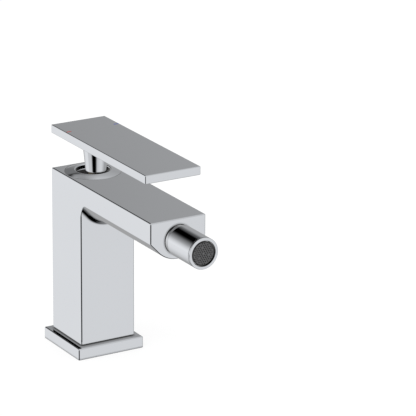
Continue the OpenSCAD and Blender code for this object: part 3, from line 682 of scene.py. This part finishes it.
skin(shell, [mouth, ceiling])
shell.faces.new(ceiling)
mouth_edges = [shell.edges.get((a, b)) for a, b in zip(mouth, mouth[1:] + mouth[:1])]
bmesh.ops.triangle_fill(shell, use_beauty=True, edges=foot_edges + mouth_edges)
for side in (-1, 1):
    lug = bmesh.ops.create_cube(shell, size=1)["verts"]
    bmesh.ops.scale(shell, vec=LUG_SIZE, verts=lug)
    bmesh.ops.translate(shell, vec=(side * LUG_OUT, LUG_OUT, LUG_Z), verts=lug)
# Painted shade: the walls of the cartridge well and of the nozzle recess are blackened.
paint_shade(shell, 1, lambda c: math.hypot(c.x, c.y) < WELL_R + AT_WALL and c.z < TOP - AT_MOUTH)
paint_shade(shell, 1, lambda c: math.hypot(c.x, c.z - NOZZLE_Z) < RECESS_R + AT_WALL
       and FRONT + AT_MOUTH < c.y < RECESS_LIMIT_Y)
piece("body_shell", shell, "chrome", "body", "body_casting")

# %% [markdown]
# ## The base plate
#
# The plate is a square block with a square opening, drawn as one closed profile that is carried
# round the square level by level: groove for the gasket below, rounded shoulder outside, and a
# low rim above that centres it in the column.

# %% Base plate
def square_levels(bm, profile, corner_of):
    """Closed skin through (half width, height) levels of a square piece."""
    loops = [
        level(bm, (-half, -half), (half, half), z, corner_of(half)) for half, z in profile]
    skin(bm, loops + loops[:1])


BASE_HALF, BASE_TOP = plate_high.x, 8.3
OPENING_HALF, RIM_HALF, RIM_TOP = 16, 17.7, plate_high.z
GROOVE_FROM, GROOVE_TO, GROOVE_DEPTH = 19, 23, 2
BREAK, FINE_BREAK = 0.3, 0.2
INNER_CORNER, SHOULDER_FROM = 2, 24.5
base_outline = soften([
    (OPENING_HALF, 0, BREAK), (GROOVE_FROM, 0, FINE_BREAK), (GROOVE_FROM, GROOVE_DEPTH, 0),
    (GROOVE_TO, GROOVE_DEPTH, 0), (GROOVE_TO, 0, FINE_BREAK), (BASE_HALF, 0, BREAK),
    (BASE_HALF, BASE_TOP, EDGE), (RIM_HALF, BASE_TOP, 0), (RIM_HALF, RIM_TOP, BREAK),
    (OPENING_HALF, RIM_TOP, BREAK)])
base = bmesh.new()
square_levels(
    base, base_outline,
    lambda half: INNER_CORNER if half < SHOULDER_FROM else half - BASE_HALF + EDGE)
piece("base_block", base, "chrome", "body", "base_plate")

# %% [markdown]
# ## The lever plate and its two marks
#
# The plate is flat and thin, so its 0.6 mm edges do most of the work: they draw a bright line
# round it. Two shallow pockets near the stem hold the red and blue marks.

# %% Blocks with rounded edges
def plate_loops(bm, low, high, edge, steps=5):
    """Levels of a block whose edges are all rounded, from its underside to its top."""
    loops = []
    for bottom in (True, False):
        for i in range(steps + 1):
            a = math.radians(90 * (i if bottom else steps - i) / steps)
            inset = edge * (1 - math.sin(a))
            z = low.z + edge * (1 - math.cos(a)) if bottom else high.z - edge * (1 - math.cos(a))
            loops.append(level(
                bm, (low.x + inset, low.y + inset), (high.x - inset, high.y - inset), z,
                edge * math.sin(a)))
    return loops


# %% Lever plate
PLATE_EDGE = 0.6
MARK_DEPTH = 0.5
MARK_SPAN = (16.5, 20.35)
MARK_HALF_W = 0.6
MARK_PLAY = 0.03
LONG_EDGE = 50
plate = bmesh.new()
loops = plate_loops(plate, lever_low, lever_high, PLATE_EDGE)
skin(plate, loops)
plate.faces.new(loops[0])
top_loop = loops[-1]
middles, rims = {}, {}
for side in (-1, 1):
    line = next(
        edge for edge in plate.edges if edge.calc_length() > LONG_EDGE
        and all(v in top_loop and v.co.x * side > 0 for v in edge.verts))
    start, end = line.verts
    share = start.co.y / (start.co.y - end.co.y)
    middles[side] = bmesh.utils.edge_split(line, start, share)[1]
    near, far = MARK_SPAN[0] - MARK_PLAY, MARK_SPAN[1] + MARK_PLAY
    left, right = (near, far) if side > 0 else (-far, -near)
    half = MARK_HALF_W + MARK_PLAY
    walk = ((left, 0), (left, -half), (right, -half), (right, 0), (right, half), (left, half))
    rims[side], pocket_floor = (
        [plate.verts.new((x, y, z)) for x, y in walk]
        for z in (lever_high.z, lever_high.z - MARK_DEPTH))
    skin(plate, [rims[side], pocket_floor])
    plate.faces.new(pocket_floor)
front_way = [v for v in top_loop if v.co.y < 0]
back_way = sorted((v for v in top_loop if v.co.y > 0), key=lambda v: math.atan2(v.co.y, v.co.x))
plate.faces.new(
    [middles[-1], *front_way, middles[1]] + [rims[side][i] for side in (1, -1) for i in (3, 2, 1, 0)])
plate.faces.new(
    [middles[1], *back_way, middles[-1]] + [rims[side][i] for side in (-1, 1) for i in (0, 5, 4, 3)])
piece("lever_blade", plate, "chrome", "lever", "lever_plate")

# %% Marks
MARK_EDGE = 0.1
for side, name, slot in ((-1, "hot_mark", "red_plastic"), (1, "cold_mark", "blue_plastic")):
    near, far = MARK_SPAN if side > 0 else (-MARK_SPAN[1], -MARK_SPAN[0])
    mark_low = Vector((near, -MARK_HALF_W, lever_high.z - MARK_DEPTH))
    mark_high = Vector((far, MARK_HALF_W, lever_high.z))
    dot = bmesh.new()
    loops = plate_loops(dot, mark_low, mark_high, MARK_EDGE, steps=3)
    skin(dot, loops)
    dot.faces.new(loops[0])
    dot.faces.new(loops[-1])
    piece(name + "_inlay", dot, slot, "lever", name)

# %% [markdown]
# ## The stem
#
# A slim cone carries the plate. At its back a small cap hides the grub screw. The hole for it is
# drawn into the cone's own grid: a window of faces is left out, and rings of vertices run from
# the window's border to the round hole while staying on the cone.

# %% Stem
STEM_Y = -4.304
STEM_LOW, STEM_HIGH = 128.25, lever_low.z
STEM_R0, STEM_R1, STEM_FOOT, UNDER_R = 7.15, 9.45, 1, 4.5
CAP_Z, CAP_R, CAP_FLOOR_Y = 133, 2.95, -0.4
TURNS = 120


def cone_r(z):
    """Radius of the stem at height z, above its rounded foot."""
    start = STEM_LOW + STEM_FOOT
    return STEM_R0 + (STEM_R1 - STEM_R0) * (z - start) / (STEM_HIGH - start)


def on_cone(angle, z):
    """Point on the stem; angle 0 faces backwards."""
    radius = cone_r(z)
    return Vector((radius * math.sin(angle), STEM_Y + radius * math.cos(angle), z))


CONE_FROM, ROW_STEP, ROWS_ABOVE = 129.35, 1.22, [140, 144, 148]
stem = bmesh.new()
step = math.tau / TURNS
window_columns = 11
window_rows = 6
heights = [CONE_FROM + ROW_STEP * i for i in range(window_rows + 1)] + ROWS_ABOVE + [STEM_HIGH]
cone = [[stem.verts.new(on_cone(step * i, z)) for i in range(TURNS)] for z in heights]
for row, (lower, upper) in enumerate(zip(cone, cone[1:])):
    for i in range(TURNS):
        in_window = row < window_rows and (i < window_columns or i >= TURNS - window_columns)
        if not in_window:
            j = (i + 1) % TURNS
            stem.faces.new((lower[i], lower[j], upper[j], upper[i]))

foot_corners = [(UNDER_R, STEM_LOW, 0), (STEM_R0, STEM_LOW, STEM_FOOT), (STEM_R0, CONE_FROM, 0)]
foot = soften(foot_corners, 8)[:-1]
under = [[stem.verts.new((r * math.sin(step * i), STEM_Y + r * math.cos(step * i), z))
          for i in range(TURNS)] for r, z in foot]
skin(stem, under + cone[:1])
stem.faces.new(under[0])
stem.faces.new(cone[-1])

# %% Hole for the screw cap
HOLE_BLENDS = 4
border = [(-window_columns + i, 0) for i in range(2 * window_columns)]
border += [(window_columns, i) for i in range(window_rows)]
border += [(window_columns - i, window_rows) for i in range(2 * window_columns)]
border += [(-window_columns, window_rows - i) for i in range(window_rows)]
hole_loops = [[cone[row][column % TURNS] for column, row in border]]
for blend_step in range(1, HOLE_BLENDS + 1):
    loop = []
    for column, row in border:
        edge_point = on_cone(step * column, heights[row])
        way = Vector((edge_point.x, edge_point.z - CAP_Z)).normalized() * CAP_R
        round_z = CAP_Z + way.y
        round_angle = math.asin(way.x / cone_r(round_z))
        k = blend_step / HOLE_BLENDS
        loop.append(stem.verts.new(on_cone(
            step * column * (1 - k) + round_angle * k, heights[row] * (1 - k) + round_z * k)))
    hole_loops.append(loop)
hole_loops.append([stem.verts.new((v.co.x, CAP_FLOOR_Y, v.co.z)) for v in hole_loops[-1]])
skin(stem, hole_loops)
stem.faces.new(hole_loops[-1])
piece("stem_cone", stem, "chrome", "lever", "lever_stem")

# %% [markdown]
# ## The cover ring
#
# The ring is a shallow dome with a rolled lip round its opening, turned on the lathe. The lip
# matters: its small radius gives the thin bright circle round the dark pit.

# %% Cover ring
RING_R, LIP_R, OPENING_R, DOME_Z = 19.4, 0.7, 12.1, 128.1
SKIRT_DROP, RIM_DROP, SEAT_DROP, SEAT_R = 7.5, 0.25, 1.6, 16.2
DOME_STEPS, DOME_BULGE = 12, 0.35
LIP_OVERLAP, LIP_RISE = 0.3, 0.06
lip_centre = Vector((OPENING_R + LIP_R, DOME_Z - LIP_R))
dome = []
for i in range(DOME_STEPS + 1):
    k = i / DOME_STEPS
    dome.append(Vector((
        RING_R + (lip_centre.x + LIP_OVERLAP - RING_R) * k,
        TOP + (DOME_Z - LIP_RISE - TOP) * (k + DOME_BULGE * k * (1 - k)))))
lip = [
    lip_centre + LIP_R * Vector((math.cos(math.radians(a)), math.sin(math.radians(a))))
    for a in range(60, 181, 12)]
ring_outline = (
    [Vector((RING_R, TOP - SKIRT_DROP)), Vector((RING_R, TOP - RIM_DROP))] + dome + lip
    + [Vector((OPENING_R, TOP - SEAT_DROP)), Vector((SEAT_R, TOP - SEAT_DROP)),
       Vector((SEAT_R, TOP - SKIRT_DROP))])
cover = bmesh.new()
lathe(cover, ring_outline, Matrix.Identity(4))
# Painted shade: the walls of the opening below the lip are blackened, so the pit comes out dark.
paint_shade(cover, 1, lambda c: math.hypot(c.x, c.y) < OPENING_R + 0.1 and c.z < DOME_Z - LIP_R)
piece("cover_dome", cover, "chrome", "body", "cover_ring")

# %% [markdown]
# ## The nozzle
#
# The nozzle's pieces are turned about the arm's axis. Heights on the lathe are distances in front
# of the ball's centre. The sleeve ends in a ball skirt that turns inside the arm's recess, and
# the aerator's housing shows as a separate flange at the front.

# %% Sleeve
BALL_Y = -118.5
BALL = Matrix.Translation((0, BALL_Y, NOZZLE_Z)) @ TO_FRONT
SKIRT_R, SKIRT_BACK, SKIRT_STEP = 10.15, -4.5, 0.5
SLEEVE_R, SLEEVE_FROM, SLEEVE_END = 10.9, 3, 29.5
BORE_R, MOUTH_R, MOUTH_FROM = 8.25, 9.95, 26.5
skirt = [(math.sqrt(SKIRT_R ** 2 - u * u), u) for u in (SKIRT_BACK + SKIRT_STEP * i for i in range(10))]
sleeve_outline = [(BORE_R, SKIRT_BACK)] + skirt + [(SLEEVE_R, SLEEVE_FROM)] + soften([
    (SLEEVE_R, SLEEVE_FROM + 0.5, 0), (SLEEVE_R, SLEEVE_END, 0.3), (MOUTH_R, SLEEVE_END, 0.1),
    (MOUTH_R, MOUTH_FROM, 0), (BORE_R, MOUTH_FROM, 0)], 4)
sleeve = bmesh.new()
lathe(sleeve, sleeve_outline, BALL)
# Painted shade: the ball skirt inside the arm's recess and the end face behind the aerator's flange are
# blackened.
paint_shade(sleeve, 1, lambda c: not -1 < BALL_Y - c.y < SLEEVE_END - 0.2)
piece("nozzle_shell", sleeve, "chrome", "nozzle", "nozzle_sleeve")

# %% Aerator housing
THREAD_R, THREAD_BACK, FLANGE_BACK, FLANGE_FRONT = 9.8, 24, 29.6, 30.8
RIM_R, RIM_BACK, INNER_R = 8.8, 27, 8.4
SHADED_BEHIND, SHADED_WITHIN = 29.7, 8.9
housing_outline = soften([
    (THREAD_R, THREAD_BACK, 0), (THREAD_R, FLANGE_BACK, 0), (SLEEVE_R, FLANGE_BACK, 0.25),
    (SLEEVE_R, FLANGE_FRONT, 0.3), (RIM_R, FLANGE_FRONT, 0.3), (RIM_R, RIM_BACK, 0),
    (INNER_R, RIM_BACK, 0), (INNER_R, THREAD_BACK, 0)], 5)
housing = bmesh.new()
lathe(housing, housing_outline, BALL)
# Painted shade: the thread inside the sleeve and the inner faces of the rim are blackened.
paint_shade(housing, 1, lambda c: BALL_Y - c.y < SHADED_BEHIND
       or math.hypot(c.x, c.z - NOZZLE_Z) < SHADED_WITHIN)
piece("aerator_collar", housing, "chrome", "nozzle", "aerator_housing")

# %% [markdown]
# ## The perforated aerator plate
#
# The plate's face is one flat fill with its holes as inner loops. Each hole gets a wall down to a
# floor, and the rim has a small chamfer; walls, floors, rim and sides are blackened with painted shade,
# and the face is made a quarter darker through the same attribute. Four domed studs take the place of
# one hole each: one in the middle, and three round it at two holes out and one aside, which is the root
# of seven pitches away.

# %% Hole pattern
INSERT_R, INSERT_U, HOLE_R, PITCH, PATTERN_R = 8.1, 30.4, 0.5, 1.6, 7
STUD_R = math.sqrt(7) * PITCH
STUD_ANGLES = (100.9, 220.9, 340.9)
studs = [(0.0, 0.0)] + [
    (STUD_R * math.cos(math.radians(a)), STUD_R * math.sin(math.radians(a)))
    for a in STUD_ANGLES]
spots = []
for row in range(-5, 6):
    for column in range(-6, 7):
        x = PITCH * (column + (row % 2) / 2)
        y = PITCH * row * math.sqrt(3) / 2
        near_stud = any(math.hypot(x - a, y - b) < HOLE_R for a, b in studs)
        if math.hypot(x, y) <= PATTERN_R and not near_stud:
            spots.append((x, y))
print(len(spots), "outlet holes")

# %% Aerator plate
RIM_STEPS, HOLE_STEPS, STUD_STEPS = 96, 14, 20
CHAMFER, INSERT_DEPTH, SHOULDER_R, HOLE_DEPTH = 0.15, 2, 7.6, 1.6
FACE_DARK = 0.25
STUD_PROFILE = ((0.75, 30.3), (0.75, 30.42), (0.68, 30.5), (0.45, 30.54))
insert = bmesh.new()


def insert_ring(count, radius, u, x=0, y=0):
    """A circle of the insert at distance u in front of the ball's centre."""
    return ring(insert, count, radius, BALL @ Matrix.Translation((x, y, u)))


outer = insert_ring(RIM_STEPS, INSERT_R - CHAMFER, INSERT_U)
side = insert_ring(RIM_STEPS, INSERT_R, INSERT_U - CHAMFER)
rear = insert_ring(RIM_STEPS, INSERT_R, INSERT_U - INSERT_DEPTH)
skin(insert, [outer, side, rear])
insert.faces.new(rear)
shoulder = insert_ring(RIM_STEPS, SHOULDER_R, INSERT_U)
skin(insert, [outer, shoulder])
rims = [shoulder]
for x, y in spots:
    rim, bottom = (
        insert_ring(HOLE_STEPS, HOLE_R, INSERT_U - depth, x, y) for depth in (0, HOLE_DEPTH))
    skin(insert, [rim, bottom])
    insert.faces.new(bottom)
    rims.append(rim)
# Painted shade: everything drawn so far, the holes' walls and floors, the rim and the sides, is
# blackened; the face between the holes is then set a quarter darker.
paint_shade(insert, 1, lambda c: True)
before = set(insert.faces)
fill(insert, rims)
painted_shade_layer = insert.faces.layers.float["painted_shade"]
for face in set(insert.faces) - before:
    face[painted_shade_layer] = FACE_DARK

for x, y in studs:
    stud_loops = [insert_ring(STUD_STEPS, radius, u, x, y) for radius, u in STUD_PROFILE]
    skin(insert, stud_loops)
    insert.faces.new(stud_loops[0])
    insert.faces.new(stud_loops[-1])
piece("aerator_plate", insert, "grey_plastic", "nozzle", "aerator_insert")

# %% [markdown]
# ## Floor, light and what the chrome mirrors
#
# Polished chrome has hardly any colour of its own; its look is the room's. The room here is a large
# glowing dome of soft greys that only reflections see, so its greys are painted reflections. Camera,
# shadows and diffuse light pass through it, so it can be as dark as the chrome needs while the picture
# stays bright.

# %% Stage helpers
def glow_only(name, bm):
    """A panel that only reflections see; its brightness is the mesh attribute "shade"."""
    mesh = bpy.data.meshes.new(name)
    bm.to_mesh(mesh)
    bm.free()
    made = bpy.data.objects.new(name, mesh)
    bpy.context.scene.collection.objects.link(made)
    material = bpy.data.materials.new(name)
    material.use_nodes = True
    tree = material.node_tree
    tree.nodes.clear()
    shade = node(tree, "ShaderNodeAttribute", attribute_name="shade")
    glow = node(tree, "ShaderNodeEmission", [("Color", shade.outputs["Color"])])
    node(tree, "ShaderNodeOutputMaterial", [("Surface", glow.outputs[0])])
    mesh.materials.append(material)
    made.visible_camera = False
    made.visible_diffuse = False
    made.visible_shadow = False
    made.visible_transmission = False


# %% [markdown]
# The table names the parts of the room by the compass window that they cover. Each one fades in, stays
# and fades out, both round the compass and in height, and a later one lies over the earlier ones. The
# greys were set face by face, from what each flat and each round shows.

# %% What each direction shows
# Painted reflections: each window's grey is what the chrome shows when it faces that way.
PATCHES = [
    # name, grey, azimuths of fade in, full, full, fade out, then the same for elevation
    ("ceiling", 0.62, (-180, -180, 540, 540), (38, 58, 90, 91)),
    ("right_wall", 0.38, (-64, -20, 80, 110), (-80, -40, 24, 46)),
    ("back_gap", 0.0, (76, 100, 140, 196), (-6, 18, 46, 62)),
    ("overhead_flag", 0.0, (58, 70, 120, 160), (12, 28, 38, 42)),
    ("ring_low", 0.18, (63, 69, 79, 86), (2, 8, 29, 33)),
    ("ring_high", 0.19, (63, 68, 74, 76.5), (32, 34, 36, 40)),
    ("high_window", 0.32, (56, 70, 75, 82), (34, 38, 52, 60)),
    ("left_wall_top", 0.95, (98, 114, 158, 206), (-30, -10, -9, 35)),
    ("left_wall", 0.83, (84, 127, 158, 206), (-82, -34, -10, 0)),
    ("front_wall", 0.74, (226, 290, 304, 346), (-58, -34, -6, 60)),
    ("dark_door", 0.0, (196, 208, 240, 258), (-90, -80, -16, -4)),
    ("door_head", 0.02, (154, 170, 256, 272), (-28, -23, -15, -10)),
    ("floor_grey", 0.27, (-90, -60, 150, 180), (-91, -90, -62, -40)),
    ("floor_dark", 0.0, (-180, -180, 540, 540), (-91, -90, -78, -66)),
    ("floor_front", 0.0, (180, 200, 296, 330), (-91, -90, -60, -44)),
]
BASE_SHADE = 0.5


def trapezoid(value, stops):
    """0 outside the stops, 1 between the middle two, straight in between."""
    rise, full, still_full, fall = stops
    if value <= rise or value >= fall:
        return 0.0
    if value < full:
        return (value - rise) / (full - rise)
    if value > still_full:
        return (fall - value) / (fall - still_full)
    return 1.0


def shade_at(azimuth, elevation):
    """The grey that a mirror pointed in this direction shows, in degrees from +X towards +Y."""
    grey = BASE_SHADE
    for _, patch, across, up in PATCHES:
        side = max(trapezoid(azimuth + turn, across) for turn in (-360, 0, 360))
        grey += (patch - grey) * side * trapezoid(elevation, up)
    return grey


# %% [markdown]
# The dome has a vertex at every second degree. Each one stores its grey, and the greys run into
# each other between them, so no window has a hard border.

# %% The room
DOME_R, DOME_STEP = 20.0, 2
room = bmesh.new()
shade_layer = room.verts.layers.float_color.new("shade")
dome_rows = []
for elevation in range(-90, 91, DOME_STEP):
    dome_rows.append([])
    for azimuth in range(0, 360, DOME_STEP):
        up, around = math.radians(elevation), math.radians(azimuth)
        vert = room.verts.new(DOME_R * Vector((
            math.cos(up) * math.cos(around), math.cos(up) * math.sin(around), math.sin(up))))
        grey = shade_at(azimuth, elevation)
        vert[shade_layer] = (grey, grey, grey, 1)
        dome_rows[-1].append(vert)
skin(room, dome_rows[1:-1])
room.faces.new(dome_rows[1])
room.faces.new(dome_rows[-2])
glow_only("painted_reflection_dome", room)

# %% [markdown]
# The floor glows by itself, so that it comes out nearly white and still takes a soft shadow. The
# camera sees a white sky, and the pieces are lit by a slightly weaker one.

# %% Floor
FLOOR_HALF, FLOOR_GREY, FLOOR_GLOW = 30, 0.25, 0.8
floor_mesh = bpy.data.meshes.new("floor")
floor_bm = bmesh.new()
bmesh.ops.create_grid(floor_bm, x_segments=8, y_segments=8, size=FLOOR_HALF)
floor_bm.to_mesh(floor_mesh)
floor_bm.free()
floor = bpy.data.objects.new("floor", floor_mesh)
bpy.context.scene.collection.objects.link(floor)
floor_material = bpy.data.materials.new("pale_floor")
floor_material.use_nodes = True
tree = floor_material.node_tree
tree.nodes.clear()
diffuse = node(tree, "ShaderNodeBsdfDiffuse", Color=(FLOOR_GREY, FLOOR_GREY, FLOOR_GREY, 1))
lift = node(tree, "ShaderNodeEmission", Color=(1, 1, 1, 1), Strength=FLOOR_GLOW)
seen = node(tree, "ShaderNodeAddShader")
tree.links.new(diffuse.outputs[0], seen.inputs[0])
tree.links.new(lift.outputs[0], seen.inputs[1])
node(tree, "ShaderNodeOutputMaterial", [("Surface", seen.outputs[0])])
floor_mesh.materials.append(floor_material)

# %% World
SKY_GREY = 0.9
world = bpy.data.worlds.new("white_room")
bpy.context.scene.world = world
world.use_nodes = True
tree = world.node_tree
tree.nodes.clear()
sky = node(tree, "ShaderNodeBackground", Color=(SKY_GREY, SKY_GREY, SKY_GREY, 1), Strength=1)
white = node(tree, "ShaderNodeBackground", Color=(1, 1, 1, 1), Strength=1)
path = node(tree, "ShaderNodeLightPath")
choice = node(tree, "ShaderNodeMixShader", [("Fac", path.outputs["Is Camera Ray"])])
tree.links.new(sky.outputs[0], choice.inputs[1])
tree.links.new(white.outputs[0], choice.inputs[2])
node(tree, "ShaderNodeOutputWorld", [("Surface", choice.outputs[0])])

# %% [markdown]
# A polished base plate shows the column's foot upside down. Since the pieces don't mirror each other
# here, four low upright cards just inside the column's faces stand for it: a painted reflection, seen
# only in reflections. Each is as high as the strip of its face that the plate mirrors.

# %% Painted reflection of the column's foot in the base plate
CARD_FROM, CARD_INSET = 0.8, 0.05
FOOT_REFLECTION_CARDS = [
    # name, start and end corner, height (mm), grey
    ("foot_left", (-1, 1), (-1, -1), 3.8, 0.0),
    ("foot_front", (-1, -1), (1, -1), 2.2, 0.46),
    ("foot_right", (1, -1), (1, 1), 2.4, 0.3),
    ("foot_back", (1, 1), (-1, 1), 2.4, 0.3),
]
# Painted reflection: each card glows with the grey that the base plate should mirror.
for name, start, end, height, grey in FOOT_REFLECTION_CARDS:
    card = bmesh.new()
    shade_layer = card.verts.layers.float_color.new("shade")
    inside = (HALF - CARD_INSET) * MM
    low, high = FOOT + CARD_FROM, FOOT + height
    spots = [(start, low), (end, low), (end, high), (start, high)]
    corners = [card.verts.new((x * inside, y * inside, z * MM)) for (x, y), z in spots]
    for corner in corners:
        corner[shade_layer] = (grey, grey, grey, 1)
    card.faces.new(corners)
    glow_only(name, card)

# %% [markdown]
# The pieces and the floor are hidden from reflections. The flats stay as clean as in the photograph,
# and the painted crevice shade makes up for the dark that neighbours would add at seams.

# %% Only the room is mirrored
for obj in bpy.data.objects:
    if obj.type == "MESH" and obj.visible_camera:
        obj.visible_glossy = False

# %% [markdown]
# A single large lamp high on the left gives the floor its soft shadow and the plastic pieces
# their shape. The view transform is Standard, so white paper stays white.

# %% Lamp and view
LAMP_POWER, LAMP_SIZE = 6, 1.2
LAMP_AT = Vector((-0.9, -0.5, 1.6))
LAMP_AIM = Vector((0.9, 0.45, -1.5))
lamp_data = bpy.data.lights.new("softbox", "AREA")
lamp_data.energy = LAMP_POWER
lamp_data.size = LAMP_SIZE
lamp = bpy.data.objects.new("softbox", lamp_data)
lamp.location = LAMP_AT
lamp.rotation_mode = "QUATERNION"
lamp.rotation_quaternion = LAMP_AIM.to_track_quat("-Z", "Y")
lamp.visible_glossy = False
bpy.context.scene.collection.objects.link(lamp)
bpy.context.scene.view_settings.view_transform = "Standard"
